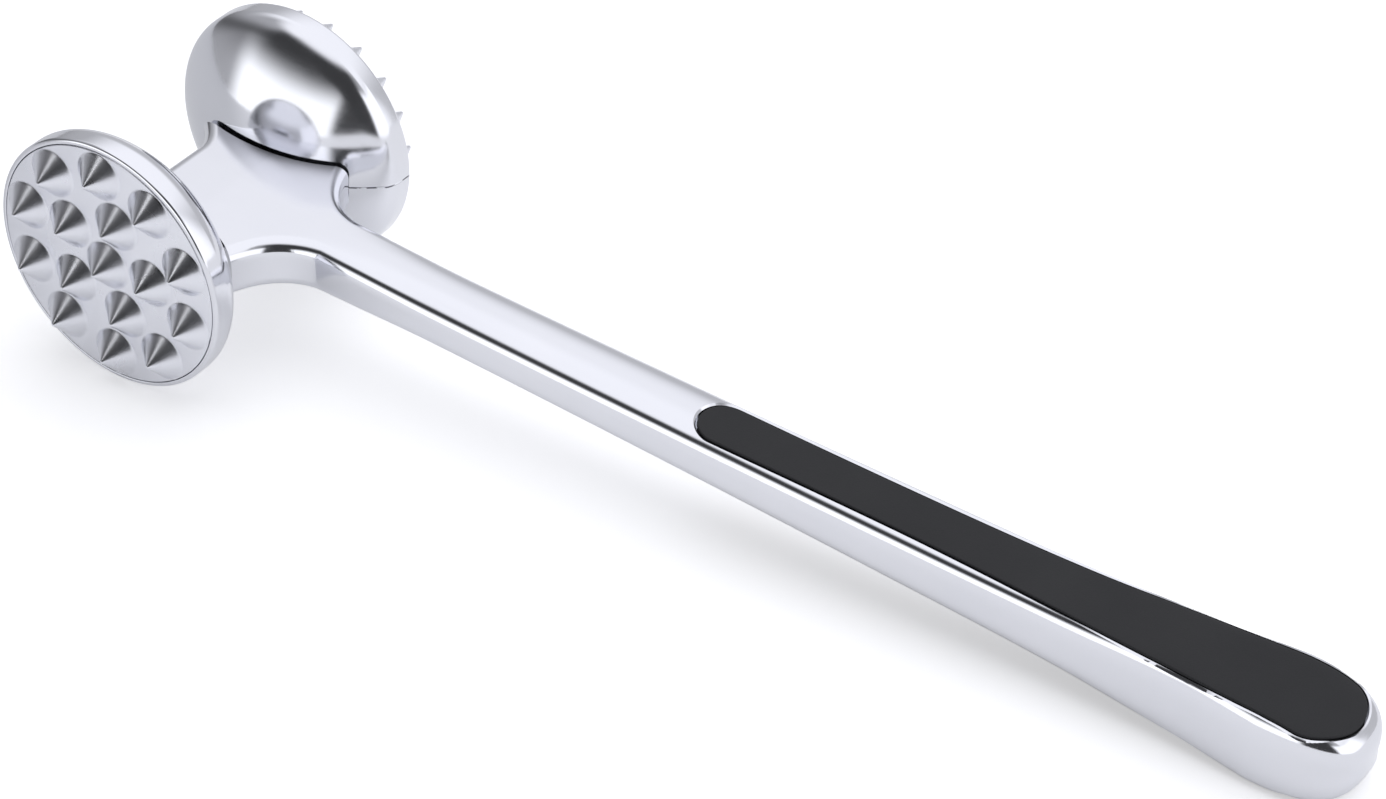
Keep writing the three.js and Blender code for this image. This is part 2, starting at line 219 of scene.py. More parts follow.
def build(name, vertices, faces):
    """An object from vertices in millimetres, with merged seams and outward faces."""
    mesh = bpy.data.meshes.new(name)
    mesh.from_pydata((np.asarray(vertices) * MM).tolist(), [], faces)
    work = bmesh.new()
    work.from_mesh(mesh)
    bmesh.ops.remove_doubles(work, verts=work.verts, dist=1e-7)
    bmesh.ops.dissolve_degenerate(work, edges=work.edges, dist=1e-8)
    bmesh.ops.recalc_face_normals(work, faces=work.faces)
    work.to_mesh(mesh)
    work.free()
    return link(name, mesh)


def grid_faces(rows, columns):
    """Quads between rows of points, each row a closed ring."""
    faces = []
    for row in range(rows - 1):
        for column in range(columns):
            beside = (column + 1) % columns
            a = row * columns
            b = a + columns
            faces.append((a + column, a + beside, b + beside, b + column))
    return faces


def ladder(around, first):
    """Rungs across a ring of points whose second half mirrors its first half."""
    faces = []
    for i in range(around // 2):
        corners = [i, i + 1, (around - i - 1) % around, (around - i) % around]
        faces.append(tuple(first + corner for corner in dict.fromkeys(corners)))
    return faces


def rings(name, rows):
    """A closed body through mirrored rings of points, with both ends filled in."""
    rows = np.asarray(rows)
    count, around = rows.shape[:2]
    faces = grid_faces(count, around)
    faces += ladder(around, 0) + ladder(around, (count - 1) * around)
    return build(name, rows.reshape(-1, 3), faces)


def lathe(name, profile, around, side=1):
    """A body of revolution about X. A profile that starts off the axis closes on itself."""
    profile = np.asarray(profile, float)
    turn = np.linspace(0, 2 * np.pi, around, endpoint=False)
    radius, along_x = profile[:, 0:1], profile[:, 1:2]
    points = np.stack(
        [
            side * np.broadcast_to(along_x, (len(profile), around)),
            radius * np.sin(turn),
            radius * np.cos(turn),
        ],
        axis=-1,
    )
    if profile[0, 0] != 0:
        points = np.concatenate([points, points[:1]])
    return build(name, points.reshape(-1, 3), grid_faces(len(points), around))


def bore(radius, start, end, side=1, y=0):
    """A round bar along X, for drilling."""
    profile = [(0, start), (radius, start), (radius, end), (0, end)]
    bar = lathe("bore", profile, BORE_SEGMENTS, side)
    bar.data.transform(Matrix.Translation((0, y * MM, 0)))
    return bar


def bezier(points, steps):
    start, pull, end = (np.array(p, float) for p in points)
    t = np.linspace(0, 1, steps + 1)[:, None]
    return start * (1 - t) ** 2 + pull * 2 * t * (1 - t) + end * t**2


def arc(centre, radius, start, end, steps):
    """Points on a circle between two angles in degrees."""
    turn = np.radians(np.linspace(start, end, steps + 1))
    return np.stack(
        [centre[0] + radius * np.cos(turn), centre[1] + radius * np.sin(turn)], axis=-1
    )


def boolean(obj, tool, operation):
    """Cuts or joins a tool into obj and removes the tool."""
    modifier = obj.modifiers.new(operation.lower(), "BOOLEAN")
    modifier.operation = operation
    modifier.solver = "MANIFOLD"
    modifier.object = tool
    bake(obj)
    bpy.data.objects.remove(tool)


def bake(obj):
    """Applies an object's modifiers to its mesh."""
    shown = obj.evaluated_get(bpy.context.evaluated_depsgraph_get())
    mesh = bpy.data.meshes.new_from_object(shown)
    obj.modifiers.clear()
    obj.data = mesh


def smooth(obj, degrees=30):
    obj.data.polygons.foreach_set("use_smooth", [True] * len(obj.data.polygons))
    obj.data.set_sharp_from_angle(angle=math.radians(degrees))


def mark(obj, index, slots=2):
    """Gives every face of obj one material index, so it can be told after a boolean."""
    while len(obj.data.materials) < slots:
        obj.data.materials.append(None)
    obj.data.polygons.foreach_set("material_index", [index] * len(obj.data.polygons))


# ---- heads ---------------------------------------------------------------------------


def bell_back_x(radius):
    rise = BELL_SHOULDER_X - BELL_APEX_X
    return BELL_APEX_X + rise * (np.asarray(radius) / HEAD_RADIUS) ** BELL_POWER


def bell_back(from_radius):
    """The bell's back as (radius, x) points, out to the start of its straight band."""
    radius = np.linspace(from_radius, SHOULDER_RADIUS, DOME_STEPS)
    dome = np.stack([radius, bell_back_x(radius)], axis=-1)
    step = 0.01
    end = bell_back_x(SHOULDER_RADIUS)
    slope = (end - bell_back_x(SHOULDER_RADIUS - step)) / step
    corner = (HEAD_RADIUS, end + slope * (HEAD_RADIUS - SHOULDER_RADIUS))
    shoulder = bezier([dome[-1], corner, (HEAD_RADIUS, BAND_START_X)], SHOULDER_STEPS)
    return np.concatenate([dome, shoulder[1:]])


def bell(name, side):
    """A head without its plate: a domed back, and bores for plate, boss, stud and dowel."""
    stud_bore = STUD_RADIUS + CLEARANCE
    boss_bore = BOSS_RADIUS + CLEARANCE
    pocket = PLATE_RADIUS + CLEARANCE
    floor_x = FACE_X - PLATE_THICKNESS - CLEARANCE
    bore_end_x = BOSS_END_X - CLEARANCE
    lip_centre = (HEAD_RADIUS - LIP_ROUND, FACE_X - LIP_ROUND)
    edge_centre = (pocket + EDGE_BREAK, FACE_X - EDGE_BREAK)
    profile = np.concatenate(
        [
            bell_back(stud_bore),
            arc(lip_centre, LIP_ROUND, 0, 90, LIP_STEPS),
            arc(edge_centre, EDGE_BREAK, 90, 180, EDGE_STEPS),
            [(pocket, floor_x), (boss_bore, floor_x)],
            [(boss_bore, bore_end_x), (stud_bore, bore_end_x)],
        ]
    )
    body = lathe(name, profile, HEAD_SEGMENTS, side)
    dowel_hole = bore(DOWEL_RADIUS + CLEARANCE, 0, DOWEL_END_X + CLEARANCE, side, DOWEL_Y)
    boolean(body, dowel_hole, "DIFFERENCE")
    return body


def bell_seat(side):
    """What a bell and its gap take out of the neck."""
    back = bell_back(0.0)
    back[1:, 0] += SEAT_GAP / 2
    back[:, 1] -= SEAT_GAP
    back = back.tolist() + [(HEAD_RADIUS + SEAT_GAP, FAR), (0, FAR)]
    return lathe("seat", back, HEAD_SEGMENTS, side)


def spike(form, radius, angle, side):
    """A cone with a small fillet at its foot, on a straight root inside its plate."""
    base, tip, foot = form["base"], form["tip"], form["base"] + SPIKE_FILLET
    root_x, foot_x, tip_x = FACE_X - SPIKE_ROOT, FACE_X + FOOT_LIFT, FACE_X + SPIKE_HEIGHT
    on_flank = (base - (base - tip) * FILLET_SHARE, FACE_X + SPIKE_HEIGHT * FILLET_SHARE)
    tip_centre = (tip - TIP_ROUND, tip_x - TIP_ROUND)
    profile = np.concatenate(
        [
            [(0, root_x), (foot, root_x)],
            bezier([(foot, foot_x), (base - FILLET_PULL, foot_x), on_flank], FILLET_STEPS),
            arc(tip_centre, TIP_ROUND, 45, 90, TIP_STEPS),
            [(0, tip_x)],
        ]
    )
    body = lathe("spike", profile, form["around"], side)
    offset = Vector((0, radius * math.sin(angle), radius * math.cos(angle))) * MM
    body.data.transform(Matrix.Translation(offset))
    return body


def note_turning(obj, axes):
    """Stores where each vertex lies around the nearest spike, for its turning rings and its
    painted reflection streaks.
    """
    place = np.array([v.co for v in obj.data.vertices])[:, 1:] / MM
    gaps = place[:, None, :] - axes[None, :, :]
    nearest = np.argmin(np.linalg.norm(gaps, axis=2), axis=1)
    gap = gaps[np.arange(len(place)), nearest]
    reach = np.maximum(np.linalg.norm(gap, axis=1, keepdims=True), 1e-3)
    turning = np.concatenate([gap / reach, reach], axis=1)
    note = obj.data.attributes.new("turning", "FLOAT_VECTOR", "POINT")
    note.data.foreach_set("vector", turning.astype(np.float32).ravel())


def face_plate(name, side, form, ring_list):
    """A round plate with a blind-bored boss and rings of spikes, which get index 1."""
    hole = STUD_RADIUS + CLEARANCE
    hole_end = BOSS_END_X + BOSS_HOLE_DEPTH
    back_x = FACE_X - PLATE_THICKNESS
    rim = PLATE_RADIUS + PLATE_FIT
    edge_centre = (rim - EDGE_BREAK, FACE_X - EDGE_BREAK)
    profile = np.concatenate(
        [
            [(0, hole_end), (hole, hole_end), (hole, BOSS_END_X)],
            [(BOSS_RADIUS, BOSS_END_X), (BOSS_RADIUS, back_x), (rim, back_x)],
            arc(edge_centre, EDGE_BREAK, 0, 90, EDGE_STEPS),
            [(0, FACE_X)],
        ]
    )
    body = lathe(name, profile, HEAD_SEGMENTS, side)
    mark(body, 0)
    axes = []
    for radius, count, phase in ring_list:
        for index in range(count):
            angle = math.radians(phase + index * 360 / count)
            one = spike(form, radius, angle, side)
            mark(one, 1)
            boolean(body, one, "UNION")
            axes.append((radius * math.sin(angle), radius * math.cos(angle)))
    note_turning(body, np.array(axes))
    return body


# ---- handle casting ------------------------------------------------------------------


def along(stations, column, at):
    """Smooth curve through stations, at distances behind the head centre."""
    where, value = stations[:, 0], stations[:, column]
    last = len(where) - 1
    before = np.maximum(np.arange(last + 1) - 1, 0)
    after = np.minimum(np.arange(last + 1) + 1, last)
    slope = (value[after] - value[before]) / (where[after] - where[before])
    at = np.clip(at, where[0], where[-1])
    i = np.clip(np.searchsorted(where, at, side="right") - 1, 0, last - 1)
    span = where[i + 1] - where[i]
    u = (at - where[i]) / span
    rest = 1 - u
    return (
        value[i] * (1 + 2 * u) * rest**2
        + slope[i] * span * u * rest**2
        + value[i + 1] * u**2 * (3 - 2 * u)
        - slope[i + 1] * span * u**2 * rest
    )


def cap_share(at):
    """0 along the handle, rising to 1 at its very end."""
    return np.maximum(at - CAP_START, 0) / (HANDLE_END - CAP_START)


def handle_width(at):
    round_off = np.maximum(1 - cap_share(at) ** CAP_PLAN_POWER, 0) ** (1 / CAP_PLAN_POWER)
    return along(HANDLE_STATIONS, 1, at) * round_off


def handle_field(x, z, at):
    """Below 0 inside the handle, for x and z of 0 or more."""
    width = along(HANDLE_STATIONS, 1, at)
    thickness = along(HANDLE_STATIONS, 2, at)
    power = along(HANDLE_STATIONS, 3, at)
    across, up = x / width, z / thickness
    section = (across**power + up**power) ** (1 / power)
    upright = up**2 / (across**2 + up**2 + 1e-12)
    cap_power = CAP_PLAN_POWER + (CAP_SIDE_POWER - CAP_PLAN_POWER) * upright
    size = (section**cap_power + cap_share(at) ** cap_power) ** (1 / cap_power)
    return (size - 1) * thickness


def handle_top(x, at):
    """Height of the handle's upper surface."""
    low, high = np.zeros(np.shape(at)), np.full(np.shape(at), TOP_LIMIT)
    for _ in range(TOP_HALVINGS):
        z = (low + high) / 2
        outside = handle_field(np.abs(x), z, at) > 0
        low, high = np.where(outside, low, z), np.where(outside, z, high)
    return low


def grip_width(at):
    return along(GRIP_STATIONS, 1, at)


def outline_width(at):
    """Half-width of the inlay's outline, closing to 0 at its two rounded ends."""
    front_at, rear_at = GRIP_STATIONS[0, 0], GRIP_STATIONS[-1, 0]
    into_front = np.clip((front_at - at) / (front_at - GRIP_START), 0, 1)
    into_rear = np.clip((at - rear_at) / (GRIP_END - rear_at), 0, 1)
    return grip_width(at) * np.sqrt(1 - np.maximum(into_front, into_rear) ** 2)


def rim_height(at):
    """Height of the metal rim beside the inlay."""
    return handle_top(outline_width(at), at)


def neck_outline():
    """Right half of the casting's plan outline, from the butt down to the handle."""
    sweep_end = (float(handle_width(SWEEP_END_AT)), -SWEEP_END_AT)
    sides_at = np.arange(SWEEP_END_AT + OUTLINE_PITCH, OUTLINE_END_AT, OUTLINE_PITCH)
    sides = np.stack([handle_width(sides_at), -sides_at], axis=-1)
    return np.concatenate(
        [
            [(-NECK_REACH, BUTT_CURVE[0][1])],
            bezier(BUTT_CURVE, BUTT_STEPS),
            [(NECK_REACH, BUTT_CURVE[-1][1]), (NECK_REACH, SWEEP_CURVE[0][1])],
            bezier(SWEEP_CURVE + [sweep_end], SWEEP_STEPS),
            sides,
        ]
    )


NECK_OUTLINE = neck_outline()


def outside_neck(x, y):
    """Distance outside the plan outline, negative inside, for x of 0 or more."""
    nearest = np.full(x.shape, np.inf)
    inside = np.zeros(x.shape, bool)
    for (ax, ay), (bx, by) in zip(NECK_OUTLINE[:-1], NECK_OUTLINE[1:]):
        dx, dy = bx - ax, by - ay
        t = np.clip(((x - ax) * dx + (y - ay) * dy) / (dx * dx + dy * dy), 0, 1)
        nearest = np.minimum(nearest, np.hypot(x - ax - t * dx, y - ay - t * dy))
        crosses = (ay > y) != (by > y)
        if dy:
            inside ^= crosses & (x < ax + dx * (y - ay) / dy)
    return np.where(inside, -nearest, nearest)


def casting_field(points):
    """Below 0 inside the casting, before its seats and recesses are cut."""
    x, y, z = np.abs(points[:, 0]), points[:, 1], np.abs(points[:, 2])
    at = -y
    bar = handle_field(x, z, at)
    in_neck = at < BLEND_TO_AT
    if in_neck.any():
        t = np.clip((at - BLEND_FROM_AT) / (BLEND_TO_AT - BLEND_FROM_AT), 0, 1)
        t = (t * t * (3 - 2 * t))[in_neck]
        out = outside_neck(x[in_neck], y[in_neck]) + NECK_ROUND
        thickness = along(HANDLE_STATIONS, 2, at[in_neck])
        up = z[in_neck] - thickness + NECK_ROUND
        rounded = np.hypot(np.maximum(out, 0), np.maximum(up, 0))
        block = rounded + np.minimum(np.maximum(out, up), 0) - NECK_ROUND
        bar[in_neck] = bar[in_neck] * t + block * (1 - t)
    return bar


def casting_slope(points):
    """Outward unit normals of the casting's surface."""
    probes = CASTING_PROBE * np.eye(3)
    rises = [casting_field(points + probe) - casting_field(points - probe) for probe in probes]
    slope = np.stack(rises, axis=-1)
    return slope / np.maximum(np.linalg.norm(slope, axis=1, keepdims=True), 1e-9)


def rough_casting():
    """The handle and neck as plain overlapping bodies, near enough to the real surface."""
    turn = np.linspace(0, 2 * np.pi, ROUGH_SEGMENTS, endpoint=False)
    bar_at = np.arange(ROUGH_START_AT, CAP_START, ROUGH_PITCH)
    cap_at = np.linspace(CAP_START, HANDLE_END - ROUGH_CAP_SHORT, ROUGH_CAP_RINGS)
    rows = []
    for at in np.concatenate([bar_at, cap_at]):
        shrink = math.sqrt(1 - cap_share(at) ** 2)
        width = along(HANDLE_STATIONS, 1, at) * shrink
        thickness = along(HANDLE_STATIONS, 2, at) * shrink
        ring = [width * np.sin(turn), np.full(turn.shape, -at), thickness * np.cos(turn)]
        rows.append(np.stack(ring, axis=-1))
    bar = rings("casting_surface", rows)
    last = np.argmin(np.abs(NECK_OUTLINE[:, 1] + SWEEP_END_AT))
    right = NECK_OUTLINE[1 : last + 1]
    ends = right[[0, -1]] * (0, 1)
    left = right[::-1] * (-1, 1)
    plan = np.concatenate([ends[:1], right, ends[1:], left])
    levels = (-ROUGH_NECK_HALF, ROUGH_NECK_HALF)
    neck = rings("neck", [np.column_stack([plan, np.full(len(plan), z)]) for z in levels])
    boolean(bar, neck, "UNION")
    return bar


def evened(body):
    """Remeshes a body evenly and moves each vertex onto the casting's true surface."""
    remesh = body.modifiers.new("even", "REMESH")
    remesh.mode = "VOXEL"
    remesh.voxel_size = VOXEL * MM
    bake(body)
    mesh = body.data
    place = np.empty(len(mesh.vertices) * 3)
    mesh.vertices.foreach_get("co", place)
    place = place.reshape(-1, 3) / MM
    for _ in range(SETTLING_STEPS):
        away = np.clip(casting_field(place), -VOXEL, VOXEL)
        place = place - casting_slope(place) * away[:, None]
    mesh.vertices.foreach_set("co", (place * MM).ravel())
    mesh.update()


def casting_body():
    """Two passes, because the first one starts from a rough body with hard corners."""
    body = rough_casting()
    evened(body)
    evened(body)
    return body


def grip_outline(margin):
    """Plan outline of the inlay as a ring of points, widened by a margin."""
    front_at, rear_at = GRIP_STATIONS[0, 0], GRIP_STATIONS[-1, 0]
    front_width = float(grip_width(front_at)) + margin
    rear_width = float(grip_width(rear_at)) + margin
    front_reach = front_at - GRIP_START + margin
    rear_reach = GRIP_END - rear_at + margin
    quarter = np.linspace(0, np.pi / 2, INLAY_END_POINTS)
    across, onward = np.sin(quarter), np.cos(quarter)
    front = np.column_stack([front_width * across, -front_at + front_reach * onward])
    at = np.linspace(front_at, rear_at, INLAY_SIDE_POINTS)
    sides = np.column_stack([grip_width(at) + margin, -at])
    rear = np.column_stack([rear_width * onward, -rear_at - rear_reach * across])
    right = np.concatenate([front, sides[1:], rear[1:]])
    left = right[1:-1][::-1] * (-1, 1)
    return np.concatenate([right, left])


def grip_recess(over):
    """The pocket for an inlay, with a chamfer where it comes out of the metal."""
    inner = grip_outline(CLEARANCE)
    outer = grip_outline(CLEARANCE + 2 * RIM_CHAMFER)
    inner_top = handle_top(inner[:, 0], -inner[:, 1]) - RIM_CHAMFER
    outer_top = handle_top(outer[:, 0], -outer[:, 1]) + RIM_CHAMFER
    rows = [
        np.column_stack([inner, np.full(len(inner), RECESS_FLOOR_Z)]),
        np.column_stack([inner, inner_top]),
        np.column_stack([outer, outer_top]),
        np.column_stack([outer, np.full(len(outer), FAR)]),
    ]
    return rings("recess", np.array(rows) * (1, 1, -1 if over else 1))


def true_normals(obj, index, slope):
    """Gives the faces with one material index the exact normals of their surface."""
    mesh = obj.data
    corner_vertex = np.empty(len(mesh.loops), np.int32)
    mesh.loops.foreach_get("vertex_index", corner_vertex)
    starts = np.empty(len(mesh.polygons), np.int32)
    totals = np.empty(len(mesh.polygons), np.int32)
    indices = np.empty(len(mesh.polygons), np.int32)
    mesh.polygons.foreach_get("loop_start", starts)
    mesh.polygons.foreach_get("loop_total", totals)
    mesh.polygons.foreach_get("material_index", indices)
    corner_index = np.repeat(indices, totals)
    place = np.empty(len(mesh.vertices) * 3)
    mesh.vertices.foreach_get("co", place)
    exact = slope(place.reshape(-1, 3) / MM)
    normals = np.zeros((len(mesh.loops), 3))
    chosen = corner_index == index
    normals[chosen] = exact[corner_vertex[chosen]]
    mesh.normals_split_custom_set(normals.tolist())


def peg_hole(at, over):
    """A drill for one carrier peg, through the floor of an inlay's recess."""
    top = RECESS_FLOOR_Z + OVERRUN
    side = 1 if over else -1
    hole = bore(PEG_RADIUS + CLEARANCE, RECESS_FLOOR_Z - PEG_HOLE_DEPTH, top, side)
    hole.data.transform(Matrix.Rotation(math.pi / 2, 4, "Y"))
    hole.data.transform(Matrix.Translation((0, -at * MM, 0)))
    return hole


def handle_casting():
    """The casting, with index 1 on whatever is cut until its normals have been set."""
    body = casting_body()
    mark(body, 0)
    tools = [bell_seat(1), bell_seat(-1), grip_recess(False), grip_recess(True)]
    tools.append(bore(STUD_RADIUS + CLEARANCE, -FAR, FAR))
    dowel_bore, start = DOWEL_RADIUS + CLEARANCE, DOWEL_START_X - CLEARANCE
    tools += [bore(dowel_bore, start, FAR, side, DOWEL_Y) for side in (1, -1)]
    tools += [peg_hole(at, False) for at in UPPER_PEGS_AT]
    tools += [peg_hole(at, True) for at in LOWER_PEGS_AT]
    for tool in tools:
        mark(tool, 1)
        boolean(body, tool, "DIFFERENCE")
    smooth(body)
    true_normals(body, 0, casting_slope)
    mark(body, 0, 1)
    return body


# ---- soft inlays ---------------------------------------------------------------------


def skin_top(x, at):
    """Height of the inlay's crown."""
    share = np.clip(np.abs(x) / np.maximum(handle_width(at), 1e-6), 0, 1)
    return (rim_height(at) - SKIN_DROP) * (1 - share**SKIN_POWER) ** (1 / SKIN_POWER)


def skin_slope(points, flip):
    """Outward unit normals of the inlay's crown."""
    h = SKIN_PROBE
    x, at = points[:, 0], -points[:, 1]
    along_x = (skin_top(x + h, at) - skin_top(x - h, at)) / (2 * h)
    along_y = (skin_top(x, at - h) - skin_top(x, at + h)) / (2 * h)
    slope = np.stack([-along_x, -along_y, np.full(x.shape, float(flip))], axis=-1)
    return slope / np.linalg.norm(slope, axis=1, keepdims=True)


def grip_skin(name, over):
    """A soft skin of even thickness with a rounded edge."""
    edge = grip_outline(0)
    spine = edge * (0, 1)
    spine_ends = (-GRIP_END + INLAY_SPINE_REAR, -GRIP_START - INLAY_SPINE_FRONT)
    spine[:, 1] = np.clip(edge[:, 1], *spine_ends)
    toward = edge - spine
    reach = np.linalg.norm(toward, axis=1)
    toward = toward / reach[:, None]
    crown, rounding = [], []
    for share in CROWN_SHARES:
        plan = spine + toward * ((reach - SKIN_EDGE) * share)[:, None]
        crown.append(np.column_stack([plan, skin_top(plan[:, 0], -plan[:, 1])]))
    for turn in np.radians(np.linspace(0, 90, EDGE_RINGS)):
        plan = edge - toward * SKIN_EDGE * (1 - math.sin(turn))
        top = skin_top(plan[:, 0], -plan[:, 1]) - SKIN_EDGE * (1 - math.cos(turn))
        rounding.append(np.column_stack([plan, top]))
    under = [row - (0, 0, SKIN_THICKNESS) for row in crown]
    flip = -1 if over else 1
    body = rings(name, np.array(crown + rounding + under[::-1]) * (1, 1, flip))
    smooth(body, degrees=40)
    mark(body, 0)
    place = np.array([v.co for v in body.data.vertices]) / MM
    on_top = flip * place[:, 2] > skin_top(place[:, 0], -place[:, 1]) - ON_CROWN
    for polygon in body.data.polygons:
        if on_top[list(polygon.vertices)].all():
            polygon.material_index = 1
    true_normals(body, 1, lambda points: skin_slope(points, flip))
    mark(body, 0, 1)
    return body


# ---- pieces --------------------------------------------------------------------------

pieces = {
    "handle_casting": handle_casting(),
    "coarse_head_bell": bell("coarse_bell_surface", -1),
    "fine_head_bell": bell("fine_bell_surface", 1),
    "coarse_face_plate": face_plate("coarse_plate_surface", -1, COARSE_SPIKE, COARSE_RINGS),
    "fine_face_plate": face_plate("fine_plate_surface", 1, FINE_SPIKE, FINE_RINGS),
    "upper_grip_skin": grip_skin("upper_inlay_surface", False),
    "lower_grip_skin": grip_skin("lower_inlay_surface", True),
}
PLATES = ("coarse_face_plate", "fine_face_plate")
for node in ("coarse_head_bell", "fine_head_bell", *PLATES):
    smooth(pieces[node], degrees=25)

# ---- materials -----------------------------------------------------------------------

# The two tones that each material wanders between.
CHROME_TONES = (0.745, 0.755, 0.80), (0.80, 0.805, 0.845)
SATIN_TONES = (0.77, 0.78, 0.83), (0.84, 0.85, 0.90)
# Dark and light tones of the painted reflection streaks on the spikes.
PAINTED_SPIKE_REFLECTION_TONES = (0.22, 0.22, 0.26), (0.74, 0.75, 0.80)
RUBBER_TONES = (0.0115, 0.012, 0.014), (0.0175, 0.018, 0.0205)
STEEL_TONES = (0.42, 0.42, 0.44), (0.58, 0.58, 0.60)
NYLON_TONES = (0.010, 0.010, 0.011), (0.018, 0.018, 0.019)
PAPER_TONES = (0.70, 0.705, 0.715), (0.71, 0.715, 0.725)

CHROME_ROUGHNESS = (0.085, 0.12)
WIPE_ROUGHNESS = (0.0, 0.04)  # added by the wipe marks
SATIN_ROUGHNESS = (0.24, 0.34)
SPIKE_ROUGHNESS = (0.07, 0.15)
RUBBER_ROUGHNESS = (0.5, 0.62)
STEEL_ROUGHNESS = (0.28, 0.42)
NYLON_ROUGHNESS = (0.4, 0.55)
PAPER_ROUGHNESS = 0.8
RUBBER_SPECULAR = 0.34

# Noise frequencies per metre along X, Y and Z.
WIPE_MARKS = (900.0, 130.0, 900.0)
DRAWN_MARKS = (90.0, 2500.0, 2500.0)
TURNING_RINGS = 34.0  # radians per millimetre
NOISE_LOW, NOISE_HIGH = 0.3, 0.7  # noise seldom goes past these

SEAM_TONE = (0.10, 0.10, 0.12)
SEAM_WAVER = 120 * MICRON
SEAM_CORE = 60 * MICRON  # half-width at full height
SEAM_FOOT = 220 * MICRON  # half-width where the line ends
SEAM_HEIGHT = 60 * MICRON
SEAM_TOP_Y = -4 * MM  # the seam runs only on the handle's side of this
SEAM_DASHES = (0.47, 0.56)  # noise levels between which the line turns dark

FLOOR_GLOW = 0.52
FLOOR_GLOW_SEEN = 0.29  # in reflections
FLOOR_GLOW_BEHIND = 0.0  # in reflections of the floor behind the heads
FLOOR_GLOW_TONE = (0.985, 0.985, 1.0, 1)
FLOOR_BEHIND = (-50, 50, 40)  # compass from, compass to and softness, in degrees


class Formula:
    """Writes sums as shader nodes. Directions are compass degrees from +Y towards +X."""

    def __init__(self, tree):
        self.tree = tree

    def node(self, kind, *inputs, **settings):
        made = self.tree.nodes.new(kind)
        for setting, value in settings.items():
            setattr(made, setting, value)
        for socket, value in zip(made.inputs, inputs):
            self.feed(socket, value)
        return made

    def feed(self, socket, value):
        if isinstance(value, bpy.types.NodeSocket):
            self.tree.links.new(value, socket)
        elif value is not None:
            socket.default_value = value

    def calc(self, operation, *inputs):
        return self.node("ShaderNodeMath", *inputs, operation=operation).outputs[0]

    def rise(self, value, start, end):
        """0 before start and 1 after end, smooth between them."""
        made = self.node("ShaderNodeMapRange", value, start, end, 0.0, 1.0)
        made.interpolation_type = "SMOOTHSTEP"
        return made.outputs[0]

    def window(self, value, low, high, soft):
        """1 between low and high, with soft edges."""
        up = self.rise(value, low - soft / 2, low + soft / 2)
        down = self.rise(value, high - soft / 2, high + soft / 2)
        return self.calc("SUBTRACT", up, down)

    def towards(self, value, target, share):
        """value moved to target by a share."""
        gap = self.calc("SUBTRACT", target, value)
        return self.calc("MULTIPLY_ADD", gap, share, value)


def principled(name):
    """A new material with its formula writer, its shader and its object coordinates."""
    material = bpy.data.materials.new(name)
    material.use_nodes = True
    f = Formula(material.node_tree)
    shader = material.node_tree.nodes["Principled BSDF"]
    return material, f, shader, f.node("ShaderNodeTexCoord").outputs["Object"]


def noise(f, place, scale, detail=2.0, rough=0.5):
    """Cloudy noise from 0 to 1; scale is in features per metre."""
    made = f.node("ShaderNodeTexNoise")
    f.feed(made.inputs["Vector"], place)
    f.feed(made.inputs["Scale"], float(scale))
    f.feed(made.inputs["Detail"], detail)
    f.feed(made.inputs["Roughness"], rough)
    return made.outputs["Fac"]


def between(f, share, low, high):
    """Noise spread over a range of values."""
    made = f.node("ShaderNodeMapRange", share, NOISE_LOW, NOISE_HIGH, float(low), float(high))
    return made.outputs[0]


def mixed(f, share, first, second):
    """A colour between two colours, either of which may be a socket."""
    made = f.node("ShaderNodeMix", data_type="RGBA")
    f.feed(made.inputs["Factor"], share)
    for socket, colour in zip(made.inputs[6:8], (first, second)):
        f.feed(socket, (*colour, 1) if isinstance(colour, tuple) else colour)
    return made.outputs[2]


def stretched(f, place, scale):
    made = f.node("ShaderNodeMapping")
    f.feed(made.inputs["Vector"], place)
    f.feed(made.inputs["Scale"], scale)
    return made.outputs[0]


def bumps(f, shader, layers):
    """Stacks bump layers given as (height from 0 to 1, depth in metres)."""
    normal = None
    for height, depth in layers:
        made = f.node("ShaderNodeBump")
        f.feed(made.inputs["Height"], height)
        f.feed(made.inputs["Distance"], depth)
        f.feed(made.inputs["Normal"], normal)
        normal = made.outputs[0]
    f.feed(shader.inputs["Normal"], normal)


def parting_line(f, place):
    """1 on the thin mould seam that runs round the handle side of a bell."""
    _, y, z = f.node("ShaderNodeSeparateXYZ", place).outputs
    waver = between(f, noise(f, place, scale=260), -SEAM_WAVER, SEAM_WAVER)
    off = f.calc("ABSOLUTE", f.calc("SUBTRACT", z, waver))
    line = f.calc("SUBTRACT", 1.0, f.rise(off, SEAM_CORE, SEAM_FOOT))
    return f.calc("MULTIPLY", line, f.calc("LESS_THAN", y, SEAM_TOP_Y))


def polished_chrome(name, seam=False):
    """Bright plating over a casting: a little wavy, with faint wipe marks."""
    material, f, shader, place = principled(name)
    cloud = noise(f, place, scale=45, detail=3.0)
    wiped = stretched(f, place, WIPE_MARKS)
    fine = noise(f, wiped, scale=1.0, detail=4.0, rough=0.7)
    tone = mixed(f, cloud, *CHROME_TONES)
    cast_rough = between(f, cloud, *CHROME_ROUGHNESS)
    rough = f.calc("ADD", cast_rough, between(f, fine, *WIPE_ROUGHNESS))
    waves = noise(f, place, scale=130, detail=1.0)
    layers = [(waves, 20 * MICRON), (fine, 0.8 * MICRON)]
    if seam:
        line = parting_line(f, place)
        dashes = f.rise(noise(f, place, scale=420), *SEAM_DASHES)
        tone = mixed(f, f.calc("MULTIPLY", line, dashes), tone, SEAM_TONE)
        layers.append((line, SEAM_HEIGHT))
    f.feed(shader.inputs["Base Color"], tone)
    f.feed(shader.inputs["Roughness"], rough)
    shader.inputs["Metallic"].default_value = 1
    bumps(f, shader, layers)
    return material


